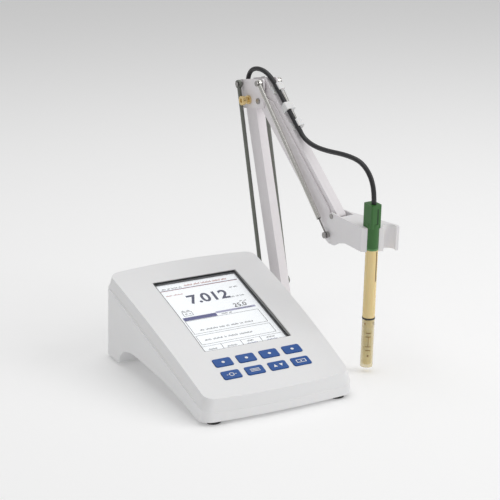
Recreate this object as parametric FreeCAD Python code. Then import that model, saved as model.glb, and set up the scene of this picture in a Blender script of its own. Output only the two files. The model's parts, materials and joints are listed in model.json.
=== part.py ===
"""Benchtop electrochemistry meter: wedge console, balanced electrode arm, probe and its cable.

Units are millimetres, +Z is up and Z = 0 is the bench top. Console frame: X to the right, Y to the rear,
origin under the middle of the console. Arm frame: X away from the peg in the arm's vertical plane, Y across
the arm, Z up, origin at the foot of the peg. Everything is shifted at the end so that the origin lies at the
bottom centre of the object's box, its cable left out.
"""
import FreeCAD, Part
import math
import os

V = FreeCAD.Vector

# ---- console shell ----
DEPTH_FRONT = -111.5          # front corners of the footprint
DEPTH_REAR = 110.0            # rear corners of the footprint
REAR_LEAN = 13.5              # how far the rear wall leans in over SHELL_TALL
SHELL_TALL = 95.0
HALF_FRONT = 75.0
HALF_REAR = 80.5
BOW_FRONT, BOW_REAR, BOW_SIDE = 4.0, 5.5, 1.6
CORNER_R = 11.0
WALL = 2.5
FLOOR_Z = 3.5                 # underside of the casing, on its feet
SLOPE_DEG = 16.47             # slope of the top face
TOP_MID = V(0, -6.5, 55.4)    # chord middle of the sloping top face
TOP_HALF = 107.9              # half length of the sloping top face
TOP_CROWN = 3.5               # rise of the top face over its chord
SEAM_DROP = 10.8              # seam below the chord at both ends
SEAM_CROWN = 2.5
LEG_INNER = 73.0              # front face of the rear leg
ARCH = [(LEG_INNER, 2.0), (67.0, 13.5), (53.0, 20.4), (17.0, 22.0), (-28.0, 18.4), (-60.0, 12.8), (-90.0, 5.6)]
ARCH_FRONT = -98.0

# ---- display and keys, in the sloping frame (x, y', z') ----
SCREEN_W, SCREEN_Y0, SCREEN_Y1 = 88.6, -44.3, 78.6
LENS_TOP = 0.1                 # window top over the chord of the top face
LENS_T = 1.6
LENS_LAP = 2.5                # how far the window runs under the shell
BEZEL_W = 1.8
LCD_T = 5.5
KEY_W, KEY_H, KEY_PITCH = 17.7, 11.6, 23.3
KEY_ROWS = (-63.4, -81.9)
KEY_GAP = 0.35
KEY_PROUD = 0.7
KEY_T = 3.2
KEY_TRAVEL = 0.8
DOME_GAP = 0.15

# ---- rear panel ----
PANEL_W, PANEL_H, PANEL_T = 124.0, 30.0, 2.0
PANEL_Z = 45.0
PANEL_SET = 2.6               # set back from the wall's outer face at the middle

# ---- arm: peg and pivots in the arm frame ----
PEG = V(101.5, 88.0, 0)
ARM_DEG = -84.25
PEG_R = 4.0
FIT = 0.05                    # running clearance of every pivot
A_TOP = V(-45.5, 0, 249.4)    # rod stud on the elbow
K_TOP = V(-32.6, 0, 235.2)    # lower arm pivot on the elbow
LOWER = V(35.2, 0, -200.8)    # from an elbow pivot to its foot pivot
B_TOP = V(-9.8, 0, 255.0)     # upper forearm pivot on the elbow
DROP = V(-5.6, 0, -18.9)      # from an upper forearm pivot to the lower one
FORE = V(118.8, 0, -110.0)    # from an elbow pivot to its head pivot
K_LOW = K_TOP + LOWER
A_LOW = A_TOP + LOWER
C_TOP = B_TOP + DROP
U_HEAD = B_TOP + FORE
L_HEAD = U_HEAD + DROP
FORE_LEN = FORE.Length
FORE_DEG = math.degrees(math.atan2(-FORE.z, FORE.x))
PIN_R = 1.75
PLATE_IN, PLATE_OUT = 6.9, 8.5
ROD_Y = {-1: 12.4, 1: 16.6}      # the rods stand off unequally from the two plates
ROD_R = 2.0
SPRING_Y = 11.0
SLEEVE_R, SLEEVE_BORE, WIRE_R = 2.3, 1.9, 0.75
UPPER_HALF, LOWER_HALF, CHANNEL_T = 4.9, 6.6, 1.3
UPPER_TOP, UPPER_BOTTOM = 4.3, -5.5
LOWER_TOP, LOWER_BOTTOM = -0.5, -21.5
POST_HALF, POST_T, POST_DEPTH, POST_LEAN = 4.6, 1.4, 18.0, 0.229

# ---- holder head and probe, in the arm frame ----
HEAD_TILT = 5.0
SLOT_R = 6.1
HEAD = V(160.8, 0, 144.0)     # front of the head, at its top
PROBE_Y = 1.7
PROBE_R = 6.0
PROBE_LEN = 138.6             # from the head's top down to the tip
CAP_TALL, COLLAR_TALL = 22.5, 21.4
SLOT2 = V(5.7, 16.8, 0)       # free slot, from the head's origin
SLEEVE_TALL = 50.0

# ---- cable ----
CORD_R = 2.3
SEAM_GAP = 0.3                 # where one stretch of the cable follows another

parts = {}


# ---------------------------------------------------------------- helpers
def box(x0, x1, y0, y1, z0, z1):
    return Part.makeBox(x1 - x0, y1 - y0, z1 - z0, V(x0, y0, z0))


def rod(r, start, direction, length):
    return Part.makeCylinder(r, length, start, direction)


def cross_pin(r, at, y0, y1):
    """A cylinder across the arm, from y0 to y1, at the pivot's place."""
    return Part.makeCylinder(r, y1 - y0, V(at.x, y0, at.z), V(0, 1, 0))


def fuse(shapes):
    out = shapes[0]
    for shape in shapes[1:]:
        out = out.fuse(shape)
    return out.removeSplitter()


def prism(points, y0, y1):
    """A plate in the arm's plane: (x, z) corners, from y0 to y1 across the arm."""
    corners = [V(x, y0, z) for x, z in points]
    face = Part.Face(Part.makePolygon(corners + corners[:1]))
    return face.extrude(V(0, y1 - y0, 0))


def slab(points, z0, z1):
    corners = [V(x, y, z0) for x, y in points]
    face = Part.Face(Part.makePolygon(corners + corners[:1]))
    return face.extrude(V(0, 0, z1 - z0))


def round_along(shape, direction, radius):
    """Round every straight edge that runs along the direction."""
    d = V(direction).normalize()
    edges = [e for e in shape.Edges if len(e.Vertexes) == 2 and isinstance(e.Curve, Part.Line)
             and abs((e.Vertexes[1].Point - e.Vertexes[0].Point).normalize().dot(d)) > 0.98]
    return shape.makeFillet(radius, edges)


def rounded_box(x0, x1, y0, y1, z0, z1, radius):
    return round_along(box(x0, x1, y0, y1, z0, z1), V(0, 0, 1), radius)


def to_slope(shape):
    """From the sloping frame of the top face to the console frame."""
    out = shape.copy()
    out.rotate(V(0, 0, 0), V(1, 0, 0), SLOPE_DEG)
    out.translate(TOP_MID)
    return out


def from_arm(shape):
    """From the arm frame to the console frame."""
    out = shape.copy()
    out.rotate(V(0, 0, 0), V(0, 0, 1), ARM_DEG)
    out.translate(PEG)
    return out


def arm_point(p):
    a = math.radians(ARM_DEG)
    return V(p.x * math.cos(a) - p.y * math.sin(a), p.x * math.sin(a) + p.y * math.cos(a), p.z) + PEG


def to_forearm(shape):
    """Local x runs along the forearm from its upper elbow pivot, local z is square to it."""
    out = shape.copy()
    out.rotate(V(0, 0, 0), V(0, 1, 0), FORE_DEG)
    out.translate(B_TOP)
    return out


def on_head(shape):
    """Local frame of the holder head: origin at its top, in line with the probe."""
    out = shape.copy()
    out.rotate(V(0, 0, 0), V(0, 1, 0), HEAD_TILT)
    out.translate(HEAD)
    return out


def on_probe(shape):
    """Local frame of the probe: its own axis, from the head's top."""
    out = shape.copy()
    out.translate(V(0, PROBE_Y, 0))
    return from_arm(on_head(out))


def crown_height(y, crown=TOP_CROWN):
    return crown * (1 - (y / TOP_HALF) ** 2)


def crowned_block(crown, drop):
    """Everything under a gently crowned surface across the console."""
    radius = TOP_HALF ** 2 / (2 * crown)
    return to_slope(rod(radius, V(-120, 0, crown - drop - radius), V(1, 0, 0), 240))


# ---------------------------------------------------------------- console shells
def outline(half_front, half_rear, front, rear, z):
    corners = [V(-half_front, front, z), V(half_front, front, z), V(half_rear, rear, z), V(-half_rear, rear, z)]
    bows = [V(0, -BOW_FRONT, 0), V(BOW_SIDE, 0, 0), V(0, BOW_REAR, 0), V(-BOW_SIDE, 0, 0)]
    edges = []
    for i, bow in enumerate(bows):
        a, b = corners[i], corners[(i + 1) % 4]
        edges.append(Part.Arc(a, (a + b) * 0.5 + bow, b).toShape())
    return Part.Wire(edges)


def round_corners(shape, radius):
    """Round the four upright corner edges of a lofted block."""
    edges = [e for e in shape.Edges if len(e.Vertexes) == 2
             and abs(e.Vertexes[0].Point.z - e.Vertexes[1].Point.z) > 10]
    return shape.makeFillet(radius, edges)


def footprint_block(inset):
    low = outline(HALF_FRONT - inset, HALF_REAR - inset, DEPTH_FRONT + inset, DEPTH_REAR - inset, 0)
    high = outline(HALF_FRONT - inset, HALF_REAR - inset, DEPTH_FRONT + inset, DEPTH_REAR - REAR_LEAN - inset,
                   SHELL_TALL)
    return round_corners(Part.makeLoft([low, high], True, True), CORNER_R - inset)


def taper_block(inset):
    """The upper shell's walls lean inwards above the seam, just inside the lower shell's edge."""
    low = outline(75.5 - inset, 80.6 - inset, -113.6 + inset, 106.5 - inset, -14)
    high = outline(69.9 - inset, 75.7 - inset, -105.4 + inset, 108.3 - inset, 6)
    return to_slope(round_corners(Part.makeLoft([low, high], True, True), CORNER_R - inset))


def under_arch(lift):
    """The open space under the console, lifted by the wall where it bounds the cavity."""
    curve = Part.BSplineCurve()
    curve.interpolate([V(0, y + (lift if y == LEG_INNER else 0), z + lift) for y, z in ARCH])
    first, last = curve.StartPoint, curve.EndPoint
    low = -5.0
    corner = [V(0, first.y, low), first]
    tail = [last, V(0, ARCH_FRONT - lift, FLOOR_Z + lift), V(0, ARCH_FRONT - lift - 4, low), V(0, first.y, low)]
    edges = [Part.makeLine(*corner), curve.toShape()]
    edges += [Part.makeLine(a, b) for a, b in zip(tail, tail[1:])]
    face = Part.Face(Part.Wire(edges))
    space = face.extrude(V(200, 0, 0))
    space.translate(V(-100, 0, 0))
    return space


def lower_cavity():
    space = footprint_block(WALL).cut(under_arch(WALL))
    return space.cut(box(-100, 100, -130, 130, -5, FLOOR_Z + WALL))


def key_centres():
    return [((i - 1.5) * KEY_PITCH, row) for row in KEY_ROWS for i in range(4)]


def rear_frame(shape):
    """Local y out of the rear panel, local z up it, origin at its middle."""
    lean = math.degrees(math.atan2(REAR_LEAN, SHELL_TALL))
    out = shape.copy()
    out.rotate(V(0, 0, 0), V(1, 0, 0), lean)
    wall_y = DEPTH_REAR + BOW_REAR - REAR_LEAN * PANEL_Z / SHELL_TALL
    out.translate(V(0, wall_y - PANEL_SET, PANEL_Z))
    return out


# connector places on the rear panel: x, z of each cut-out's middle
SWITCH_AT, INLET_AT, SERIAL_AT, USB_AT, DIN_AT = (-50, 0), (-32, 0), (-6, 0), (20, 0), (42, 0)


def panel_cutouts(clear):
    cuts = [box(SWITCH_AT[0] - 6.6 - clear, SWITCH_AT[0] + 6.6 + clear, -8, 8, -10 - clear, 10 + clear)]
    cuts.append(rod(4.4 + clear, V(INLET_AT[0], -8, 0), V(0, 1, 0), 16))
    cuts.append(box(SERIAL_AT[0] - 9.5 - clear, SERIAL_AT[0] + 9.5 + clear, -8, 8, -5.3 - clear, 5.3 + clear))
    cuts.append(box(USB_AT[0] - 6 - clear, USB_AT[0] + 6 + clear, -8, 8, -5.5 - clear, 5.5 + clear))
    cuts.append(rod(7.6 + clear, V(DIN_AT[0], -8, 0), V(0, 1, 0), 16))
    return cuts


def shells():
    block = footprint_block(0).cut(box(-100, 100, -130, 130, -5, FLOOR_Z))
    seam = crowned_block(SEAM_CROWN, SEAM_DROP)
    upper = taper_block(0).common(crowned_block(TOP_CROWN, 0)).cut(seam)
    upper = upper.cut(taper_block(WALL).common(crowned_block(TOP_CROWN, WALL)))
    lower = block.common(seam).cut(under_arch(0)).cut(lower_cavity())
    upper = upper.cut(to_slope(screen_block(0, -8, 9))).cut(to_slope(window_block(0.05)))
    for x, y in key_centres():
        hole = rounded_box(x - KEY_W / 2 - KEY_GAP, x + KEY_W / 2 + KEY_GAP, y - KEY_H / 2 - KEY_GAP,
                           y + KEY_H / 2 + KEY_GAP, -8, 9, 2.2)
        upper = upper.cut(to_slope(hole))
    lower = lower.cut(rear_frame(box(-PANEL_W / 2, PANEL_W / 2, -4, 14, -PANEL_H / 2, PANEL_H / 2)))
    for x, y in screw_places():
        lower = lower.cut(rod(1.9, V(x, y, -1), V(0, 0, 1), 12))
    lower = lower.cut(rod(2.1, V(PLATE_SCREW.x, PLATE_SCREW.y, -1), V(0, 0, 1), 12))
    parts["upper_shell"] = upper
    parts["lower_shell"] = lower


# ---------------------------------------------------------------- case hardware
PLATE_SCREW = V(68.0, 92.0, 0)
PLATE_Z0, PLATE_Z1 = 1.5, 3.5
FEET = [(-66, 96), (-62, -103), (62, -103)]
PLATE_PADS = [(54, 80), (54, 98), (109, 80), (109, 98)]


def screw_places():
    return [(-52, 100), (40, 100), (-48, -104), (48, -104)]


def feet():
    pads = [Part.makeCone(6.5, 7.5, FLOOR_Z, V(x, y, 0), V(0, 0, 1)) for x, y in FEET]
    pads += [rod(5.0, V(x, y, 0), V(0, 0, 1), PLATE_Z0) for x, y in PLATE_PADS]
    parts["rubber_feet"] = Part.makeCompound(pads)


def case_screws():
    screws = []
    for x, y in screw_places():
        head = rod(1.7, V(x, y, FLOOR_Z + 0.4), V(0, 0, 1), 5.8)
        slot = box(x - 1.2, x + 1.2, y - 0.3, y + 0.3, FLOOR_Z, FLOOR_Z + 1.2)
        screws.append(head.cut(slot))
    shank = rod(1.95, V(PLATE_SCREW.x, PLATE_SCREW.y, PLATE_Z0), V(0, 0, 1), 8.5)
    screws.append(shank.fuse(rod(3.6, V(PLATE_SCREW.x, PLATE_SCREW.y, 0.3), V(0, 0, 1), PLATE_Z0 - 0.3)))
    parts["case_screws"] = Part.makeCompound(screws)


# ---------------------------------------------------------------- display and keypad
def screen_block(inset, z0, z1):
    """The display opening, smaller by the inset on every side."""
    half = SCREEN_W / 2 - inset
    return rounded_box(-half, half, SCREEN_Y0 + inset, SCREEN_Y1 - inset, z0, z1, 1.3)


def window_block(grow):
    """The display window, larger by grow on every side."""
    half = SCREEN_W / 2 + LENS_LAP + grow
    return box(-half, half, SCREEN_Y0 - LENS_LAP - grow, SCREEN_Y1 + LENS_LAP + grow, LENS_TOP - LENS_T - grow,
               LENS_TOP + grow)


def display():
    """Window, its black surround and lining, and the display module behind it."""
    half = SCREEN_W / 2
    parts["display_window"] = to_slope(window_block(0))
    rim = screen_block(0.15, LENS_TOP, LENS_TOP + 0.5).cut(screen_block(BEZEL_W, LENS_TOP - 1, 3))
    wall = screen_block(0.15, LENS_TOP, 9).cut(screen_block(1.15, LENS_TOP - 1, 10))
    wall = to_slope(wall).common(crowned_block(TOP_CROWN, 0.7))
    parts["display_bezel"] = to_slope(rim).fuse(wall).removeSplitter()
    glass_top = LENS_TOP - LENS_T - 0.4
    glass = box(-half - 1, half + 1, SCREEN_Y0 - 1, SCREEN_Y1 + 1, glass_top - 2.2, glass_top)
    frame = box(-half - 3, half + 3, SCREEN_Y0 - 3, SCREEN_Y1 + 3, glass_top - LCD_T, glass_top - 0.6)
    parts["display_module"] = to_slope(frame.fuse(glass))


def keys():
    """Eight separate key caps on one silicone mat over the keypad board."""
    for n, (x, y) in enumerate(key_centres()):
        top = crown_height(y) + KEY_PROUD
        cap = rounded_box(x - KEY_W / 2, x + KEY_W / 2, y - KEY_H / 2, y + KEY_H / 2, top - KEY_T, top, 1.9)
        rim = [e for e in cap.Edges if min(v.Z for v in e.Vertexes) > top - 0.01]
        parts["key_%d" % (n + 1)] = to_slope(cap.makeFillet(0.35, rim))
    x0 = -1.5 * KEY_PITCH - KEY_W / 2 - 3
    mat_top = -3.2
    mat = box(x0, -x0, KEY_ROWS[1] - 9, KEY_ROWS[0] + 9, mat_top - 1.0, mat_top)
    domes = []
    for x, y in key_centres():
        under = crown_height(y) + KEY_PROUD - KEY_T - KEY_TRAVEL - DOME_GAP
        domes.append(Part.makeCone(4.2, 3.0, under - mat_top, V(x, y, mat_top), V(0, 0, 1)))
    parts["key_mat"] = to_slope(fuse([mat] + domes))
    board = box(x0 - 1, 1 - x0, KEY_ROWS[1] - 10, KEY_ROWS[0] + 10, mat_top - 2.7, mat_top - 1.0)
    ribbon = box(-14, 14, KEY_ROWS[0] + 6, KEY_ROWS[0] + 33, mat_top - 11.5, mat_top - 11.1)
    fold = box(-14, 14, KEY_ROWS[0] + 6, KEY_ROWS[0] + 6.4, mat_top - 11.5, mat_top - 2.7)
    parts["keypad_board"] = to_slope(fuse([board, fold, ribbon]))


def boards():
    """Main board under the display, with its larger parts and the backup cell."""
    board_top = -15.0
    board = box(-60, 60, -30, 84, board_top - 1.6, board_top)
    parts["main_board"] = to_slope(board)
    chips = [box(-30, -6, 10, 34, board_top, board_top + 2.6), box(12, 30, 20, 34, board_top, board_top + 2.0),
             box(-46, -38, 48, 70, board_top, board_top + 3.0), box(24, 44, 52, 60, board_top, board_top + 2.4)]
    cell = rod(10.0, V(40, 2, board_top), V(0, 0, 1), 3.2)
    parts["board_parts"] = to_slope(Part.makeCompound(chips + [cell]))


# ---------------------------------------------------------------- rear panel
def connectors():
    panel = box(-PANEL_W / 2 + 0.2, PANEL_W / 2 - 0.2, -PANEL_T, 0, -PANEL_H / 2 + 0.2, PANEL_H / 2 - 0.2)
    for cut in panel_cutouts(0.1):
        panel = panel.cut(cut)
    parts["rear_panel"] = rear_frame(panel)
    frame = rounded_box(-7.6, 7.6, -11, 11, 0, 1.4, 1.2)
    frame.rotate(V(0, 0, 0), V(1, 0, 0), -90)
    body = box(-6.5, 6.5, -9, 0, -9.9, 9.9)
    well = box(-5.2, 5.2, -7, 3, -8.2, 8.2)
    housing = frame.fuse(body).cut(well).cut(rod(AXLE_R + FIT, V(-6.0, 0, 0), V(1, 0, 0), 12))
    housing.translate(V(SWITCH_AT[0], 0, SWITCH_AT[1]))
    parts["switch_housing"] = rear_frame(housing)
    parts["power_rocker"] = rear_frame(rocker_shape())
    jack = rod(4.3, V(INLET_AT[0], -9, 0), V(0, 1, 0), 9).fuse(rod(5.4, V(INLET_AT[0], 0, 0), V(0, 1, 0), 1.6))
    jack = jack.cut(rod(2.9, V(INLET_AT[0], -7, 0), V(0, 1, 0), 12))
    parts["power_inlet"] = rear_frame(jack.fuse(rod(1.0, V(INLET_AT[0], -8, 0), V(0, 1, 0), 8)))
    parts["serial_port"] = rear_frame(serial_port())
    shell = box(USB_AT[0] - 5.9, USB_AT[0] + 5.9, -12, 1.2, -5.4, 5.4)
    shell = shell.cut(box(USB_AT[0] - 5, USB_AT[0] + 5, -9, 3, -4.5, 4.5))
    tongue = box(USB_AT[0] - 2.8, USB_AT[0] + 2.8, -10, 0, -1.6, 1.6)
    parts["usb_port"] = rear_frame(shell.fuse(tongue))
    ring = rod(7.5, V(DIN_AT[0], -10, 0), V(0, 1, 0), 10).fuse(rod(9.2, V(DIN_AT[0], 0, 0), V(0, 1, 0), 1.8))
    parts["din_socket"] = rear_frame(ring.cut(rod(6.0, V(DIN_AT[0], -8, 0), V(0, 1, 0), 12)))


ROCKER_TILT = 9.0
AXLE_R = 1.0


def rocker_shape():
    """A rocker on a cross axle just behind the panel, resting with its lower half pressed."""
    blade = prism_yz([(-2.2, -7.6), (2.6, -7.6), (3.4, 0), (2.6, 7.6), (-2.2, 7.6)], -4.9, 4.9)
    blade.rotate(V(0, 0, 0), V(1, 0, 0), -ROCKER_TILT)
    axle = rod(AXLE_R, V(-5.9, 0, 0), V(1, 0, 0), 11.8)
    out = blade.fuse(axle)
    out.translate(V(SWITCH_AT[0], 0, SWITCH_AT[1]))
    return out


def prism_yz(points, x0, x1):
    corners = [V(x0, y, z) for y, z in points]
    face = Part.Face(Part.makePolygon(corners + corners[:1]))
    return face.extrude(V(x1 - x0, 0, 0))


def serial_port():
    x = SERIAL_AT[0]
    flange = box(x - 15.4, x + 15.4, 0, 1.0, -6.2, 6.2)
    nose = box(x - 9.2, x + 9.2, -9, 5.5, -4.9, 4.9)
    nose = round_along(nose, V(0, 1, 0), 2.0)
    out = flange.fuse(nose).cut(round_along(box(x - 8.3, x + 8.3, -2, 7, -4, 4), V(0, 1, 0), 1.4))
    for side in (-12.5, 12.5):
        out = out.fuse(rod(2.4, V(x + side, 1.0, 0), V(0, 1, 0), 4.4))
    pins = [rod(0.5, V(x + (i - 2) * 2.76 + (0 if row else 1.38), -4, 1.4 if row else -1.4), V(0, 1, 0), 7)
            for row in (0, 1) for i in range(5 if row else 4)]
    return fuse([out] + pins)


# ---------------------------------------------------------------- peg and foot of the arm
FOOT_Z0, FOOT_R, FOOT_Z1 = 4.0, 15.0, 21.0
BLOCK_TOP = 22.5
PEG_TALL = 18.0
GUIDE_X, GUIDE_R, GUIDE_Z0, GUIDE_Z1 = -17.4, 3.6, 26.0, 32.0


def peg_plate():
    plate = rounded_box(46, 117, 72, 106, PLATE_Z0, PLATE_Z1, 6)
    plate = plate.cut(rod(2.1, V(PLATE_SCREW.x, PLATE_SCREW.y, 0), V(0, 0, 1), 5))
    parts["peg_plate"] = plate
    shaft = rod(PEG_R, V(PEG.x, PEG.y, PLATE_Z1), V(0, 0, 1), PEG_TALL - PLATE_Z1 - 1.0)
    point = Part.makeCone(PEG_R, PEG_R - 1.0, 1.0, V(PEG.x, PEG.y, PEG_TALL - 1.0), V(0, 0, 1))
    parts["peg"] = shaft.fuse(point)
    washer = rod(9.0, V(PEG.x, PEG.y, PLATE_Z1), V(0, 0, 1), FOOT_Z0 - PLATE_Z1 - 0.02)
    parts["foot_washer"] = washer.cut(rod(PEG_R, V(PEG.x, PEG.y, 0), V(0, 0, 1), 9))


def arm_foot():
    """A turned foot on the peg, with a block that the two fork plates are screwed to."""
    drum = Part.makeCone(FOOT_R, FOOT_R - 1.5, FOOT_Z1 - FOOT_Z0, V(0, 0, FOOT_Z0), V(0, 0, 1))
    block = box(-12.5, 12.5, -PLATE_IN, PLATE_IN, FOOT_Z1 - 1, BLOCK_TOP)
    foot = drum.fuse(block)
    for side in (-1, 1):
        flat = box(-20, 20, PLATE_IN if side > 0 else -20, 20 if side > 0 else -PLATE_IN, 13.0, 30)
        foot = foot.cut(flat)
    foot = foot.cut(rod(PEG_R + FIT, V(0, 0, 0), V(0, 0, 1), PEG_TALL + 0.6))
    parts["arm_foot"] = from_arm(foot)
    outline_pts = [(-12.5, 13.2), (12.5, 13.2), (12.5, 30), (9.0, 41), (A_LOW.x + 5.5, A_LOW.z + 4.0),
                   (A_LOW.x - 5.0, A_LOW.z + 4.0), (-13.5, 40)]
    plates = []
    for y0 in (-PLATE_OUT, PLATE_IN):
        plate = round_along(prism(outline_pts, y0, y0 + PLATE_OUT - PLATE_IN), V(0, 1, 0), 3.0)
        for at in (K_LOW, A_LOW):
            plate = plate.cut(cross_pin(PIN_R, at, -20, 20))
        plates.append(plate)
    parts["fork_plates"] = from_arm(Part.makeCompound(plates))
    pins = [cross_pin(PIN_R, K_LOW, -PLATE_OUT, PLATE_OUT), cross_pin(3.1, K_LOW, -PLATE_OUT - 1.6, -PLATE_OUT),
            cross_pin(3.1, K_LOW, PLATE_OUT, PLATE_OUT + 1.6)]
    through = fuse(pins)
    studs = [stud(A_LOW, side) for side in (-1, 1)]
    screws = [cross_pin(2.4, V(x, 0, 18.5), side * PLATE_OUT - (1.2 if side < 0 else 0),
                        side * PLATE_OUT + (0 if side < 0 else 1.2)) for x in (-7, 7) for side in (-1, 1)]
    parts["foot_pins"] = from_arm(Part.makeCompound([through] + studs + screws))
    guide = box(GUIDE_X - 1.5, -5.0, -1.6, 1.6, BLOCK_TOP, GUIDE_Z1)
    guide = guide.fuse(rod(GUIDE_R, V(GUIDE_X, 0, GUIDE_Z0), V(0, 0, 1), GUIDE_Z1 - GUIDE_Z0))
    guide = guide.cut(rod(CORD_R + 0.2, V(GUIDE_X, 0, 0), V(0, 0, 1), 60))
    parts["cable_guide"] = from_arm(guide)


def stud(at, side):
    """A stud that stands out of a side plate and carries a rod's eye, with its retaining head."""
    end = ROD_Y[side] + 1.7
    shank = cross_pin(PIN_R, at, PLATE_IN, end)
    head = cross_pin(2.5, at, end, end + 0.9)
    out = shank.fuse(head)
    return out if side > 0 else out.mirror(V(0, 0, 0), V(0, 1, 0))


# ---------------------------------------------------------------- lower arm
def lower_arm():
    """A steel channel, open to the rear, with the cable inside it."""
    mid = (K_TOP + K_LOW) * 0.5
    lean = -math.degrees(math.atan(POST_LEAN))
    half_len = LOWER.Length / 2 + 8
    d = POST_DEPTH / 2
    solid = round_along(box(-d, d, -POST_HALF, POST_HALF, -half_len, half_len), V(0, 1, 0), 5.0)
    inside = box(-d - 1, d - POST_T, -POST_HALF + POST_T, POST_HALF - POST_T, -half_len - 1, half_len + 1)
    channel = solid.cut(inside)
    channel.rotate(V(0, 0, 0), V(0, 1, 0), lean)
    channel.translate(mid)
    for at in (K_TOP, K_LOW):
        channel = channel.cut(cross_pin(PIN_R + FIT, at, -20, 20))
    parts["lower_channel"] = from_arm(channel)
    parts["rear_rods"] = from_arm(Part.makeCompound([rear_rod(side) for side in (-1, 1)]))


def rear_rod(side):
    """A round rod with an eye at each end, between the stud on the foot and the stud on the elbow."""
    y = side * ROD_Y[side]
    unit = V(LOWER).normalize()
    start = V(A_TOP.x, y, A_TOP.z) + unit * 3.0
    body = rod(ROD_R, start, unit, LOWER.Length - 6.0)
    for at in (A_TOP, A_LOW):
        body = body.fuse(cross_pin(4.2, at, y - 1.5, y + 1.5))
    for at in (A_TOP, A_LOW):
        body = body.cut(cross_pin(PIN_R + FIT, at, y - 4, y + 4))
    return body


# ---------------------------------------------------------------- elbow
ELBOW = [(-49.6, 253.2), (-5.2, 259.9), (-6.4, 229.9), (-44.5, 224.9)]


def elbow():
    """Two plates that join the lower arm, the rods and the forearm, with the pins through them."""
    plates = []
    for y0 in (-PLATE_OUT, PLATE_IN):
        plate = round_along(prism(ELBOW, y0, y0 + PLATE_OUT - PLATE_IN), V(0, 1, 0), 2.6)
        for at in (A_TOP, K_TOP, B_TOP, C_TOP):
            plate = plate.cut(cross_pin(PIN_R, at, -20, 20))
        for dx in (0, 3.8):
            plate = plate.cut(cross_pin(0.9, C_TOP + V(-0.5 + dx, 0, -7.5), -20, 20))
        plates.append(plate)
    parts["elbow_plates"] = from_arm(Part.makeCompound(plates))
    pins = [cross_pin(PIN_R, K_TOP, -PLATE_OUT, PLATE_OUT)]
    pins.append(fuse([cross_pin(PIN_R, C_TOP, -PLATE_OUT, PLATE_OUT),
                      cross_pin(2.9, C_TOP, -PLATE_OUT - 1.3, -PLATE_OUT),
                      cross_pin(2.9, C_TOP, PLATE_OUT, PLATE_OUT + 1.3)]))
    pins.append(fuse([cross_pin(PIN_R, B_TOP, -SPRING_Y - 2.2, SPRING_Y + 2.2),
                      cross_pin(2.7, B_TOP, -SPRING_Y - 3.4, -SPRING_Y - 2.2),
                      cross_pin(2.7, B_TOP, SPRING_Y + 2.2, SPRING_Y + 3.4)]))
    pins += [stud(A_TOP, side) for side in (-1, 1)]
    parts["elbow_pins"] = from_arm(Part.makeCompound(pins))


KNOB_END = 18.0


def knob(side):
    """Knurled brass tension knob: flange on the plate, slim neck, grip ring at the end."""
    y = PLATE_OUT + 0.1
    at = K_TOP
    turned = fuse([cross_pin(4.4, at, y, y + 2.2), cross_pin(2.7, at, y + 2.2, KNOB_END - 3.2),
                   cross_pin(4.6, at, KNOB_END - 3.2, KNOB_END)])
    turned = turned.cut(cross_pin(2.2, at, KNOB_END - 1.0, KNOB_END + 1))
    teeth = 20
    for i in range(teeth):
        a = 2 * math.pi * i / teeth
        notch = V(at.x + 4.75 * math.cos(a), 0, at.z + 4.75 * math.sin(a))
        turned = turned.cut(cross_pin(0.35, notch, KNOB_END - 3.4, KNOB_END + 0.2))
    return turned if side > 0 else turned.mirror(V(0, 0, 0), V(0, 1, 0))


# ---------------------------------------------------------------- forearm
def forearm():
    """Upper link and deeper lower link, both folded channels, and the cable clips on the upper one."""
    upper = box(-4.6, FORE_LEN + 4.6, -UPPER_HALF, UPPER_HALF, UPPER_BOTTOM, UPPER_TOP)
    upper = round_along(upper, V(0, 1, 0), 4.0)
    inner = UPPER_HALF - CHANNEL_T
    upper = upper.cut(box(-9, FORE_LEN + 9, -inner, inner, UPPER_BOTTOM - 1, UPPER_TOP - CHANNEL_T))
    lower_pts = [(2.6, -21.5), (FORE_LEN + 13.5, -21.5), (FORE_LEN + 14.3, -13.0), (FORE_LEN - 9.0, LOWER_TOP),
                 (24.0, LOWER_TOP), (3.2, -13.0)]
    lower = round_along(prism(lower_pts, -LOWER_HALF, LOWER_HALF), V(0, 1, 0), 2.4)
    inner = LOWER_HALF - CHANNEL_T
    lower = lower.cut(box(-5, FORE_LEN + 25, -inner, inner, LOWER_BOTTOM + CHANNEL_T, 5))
    upper, lower = to_forearm(upper), to_forearm(lower)
    for at in (B_TOP, U_HEAD):
        upper = upper.cut(cross_pin(PIN_R + FIT, at, -20, 20))
    for at in (C_TOP, L_HEAD):
        lower = lower.cut(cross_pin(PIN_R + FIT, at, -20, 20))
    parts["forearm_upper"] = from_arm(upper)
    parts["forearm_lower"] = from_arm(lower)
    parts["cable_clips"] = from_arm(to_forearm(Part.makeCompound([clip(s, near) for s, near in CLIPS])))


CLIPS = [(14.0, -0.6), (38.2, -4.0), (59.0, -0.6)]    # place along the forearm, near edge of the block
CLIP_LEN, CLIP_WALL, CLIP_FAR, CORD_N = 8.0, 1.3, 6.0, 8.1


def clip(s, near_edge):
    """A moulded saddle on the top of the forearm that grips the cable from the far side."""
    ring_r = CORD_R + 0.25
    x0, x1 = s - CLIP_LEN / 2, s + CLIP_LEN / 2
    block = round_along(box(x0, x1, near_edge, CLIP_FAR, UPPER_TOP, CORD_N + ring_r + CLIP_WALL), V(1, 0, 0), 1.2)
    base = box(x0, x1, 0.3 - UPPER_HALF, UPPER_HALF - 0.3, UPPER_TOP, UPPER_TOP + CLIP_WALL)
    return block.fuse(base).cut(rod(ring_r, V(x0 - 1, 0, CORD_N), V(1, 0, 0), CLIP_LEN + 2))


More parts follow.
